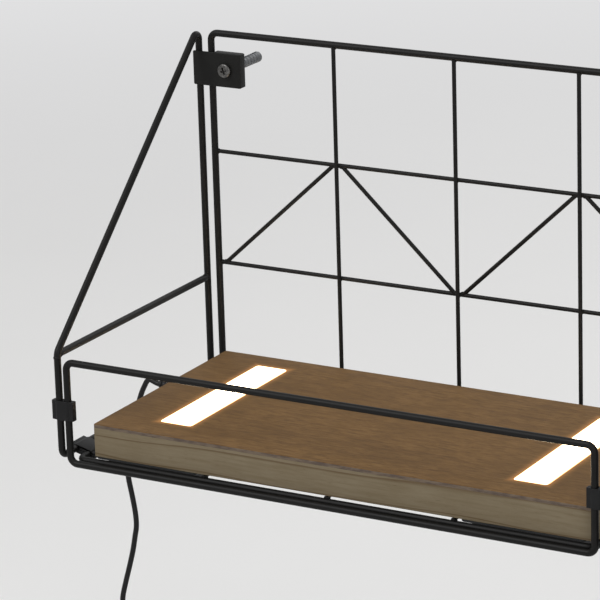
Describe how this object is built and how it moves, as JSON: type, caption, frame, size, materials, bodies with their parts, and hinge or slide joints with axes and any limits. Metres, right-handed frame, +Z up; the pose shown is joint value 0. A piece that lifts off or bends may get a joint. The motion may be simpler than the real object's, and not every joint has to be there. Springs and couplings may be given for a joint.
{
  "type": "wall lamp with shelf",
  "caption": "Wooden shelf board with flush light panels, carried in a black wire rack that hangs on a wall by clamp plates, with a switched mains lead.",
  "frame": {"origin": "on the wall, midway between the two wall screws", "axes": "+X to the right along the wall, +Y into the wall, +Z up; the front faces -Y"},
  "size_m": [0.4742, 0.2466, 0.6055],
  "materials": {
    "wire_black": "satin black powder coat",
    "bracket_black": "satin black paint",
    "screw_zinc": "dark zinc",
    "nylon_grey": "moulded nylon",
    "clip_black": "fine grained",
    "core_wood": "bare, sanded",
    "beech_veneer": "oiled beech veneer",
    "opal_diffuser": "opal, lit from below",
    "tray_white": "smooth",
    "circuit_white": "solder mask",
    "led_phosphor": "silicone dome",
    "cover_black": "fine grained",
    "driver_white": "moulded case",
    "terminal_cream": "moulded",
    "cord_black": "smooth soft PVC",
    "lead_red": "extruded sleeve",
    "switch_black": "satin moulded",
    "rocker_black": "satin moulded",
    "contact_brass": "plain",
    "tie_black": "soft strap",
    "plug_black": "soft moulded PVC",
    "pin_nickel": "nickel plated"
  },
  "bodies": {
    "lamp": {"panel_frame": "wire_black", "left_upright": "wire_black", "middle_upright": "wire_black", "right_upright": "wire_black", "upper_level_wire": "wire_black", "lower_level_wire": "wire_black", "zigzag_braces": "wire_black", "left_side_frame": "wire_black", "right_side_frame": "wire_black", "left_crossbar": "wire_black", "right_crossbar": "wire_black", "front_fence": "wire_black", "left_bracket": "bracket_black", "right_bracket": "bracket_black", "left_wall_screw": "screw_zinc", "right_wall_screw": "screw_zinc", "left_wall_plug": "nylon_grey", "right_wall_plug": "nylon_grey", "left_clip_front": "clip_black", "left_clip_back": "clip_black", "right_clip_front": "clip_black", "right_clip_back": "clip_black", "left_lower_clip_upper": "clip_black", "left_lower_clip_lower": "clip_black", "right_lower_clip_upper": "clip_black", "right_lower_clip_lower": "clip_black", "shelf_core": "core_wood", "shelf_top": "beech_veneer", "left_diffuser": "opal_diffuser", "right_diffuser": "opal_diffuser", "left_light_tray": "tray_white", "right_light_tray": "tray_white", "left_led_board": "circuit_white", "right_led_board": "circuit_white", "left_led_chips": "led_phosphor", "right_led_chips": "led_phosphor", "left_cover": "cover_black", "right_cover": "cover_black", "left_cover_screws": "screw_zinc", "right_cover_screws": "screw_zinc", "led_driver": "driver_white", "terminal_block": "terminal_cream", "supply_tail": "cord_black", "left_led_lead": "lead_red", "link_cable": "cord_black", "strain_relief": "cord_black", "upper_cord": "cord_black", "switch_front_shell": "switch_black", "switch_back_shell": "switch_black", "switch_contacts": "contact_brass", "switch_screws": "screw_zinc", "middle_cord": "cord_black", "cord_coil": "cord_black", "coil_tie": "tie_black", "plug_lead": "cord_black", "plug_body": "plug_black", "plug_pins": "pin_nickel"},
    "rocker": {"switch_rocker": "rocker_black"}
  },
  "joints": [
    {"name": "switch_press", "type": "hinge", "parent": "lamp", "child": "rocker", "pos_m": [-0.2435, -0.0863, -0.436], "axis": [1, 0, 0], "range_deg": [0, 16]}
  ]
}
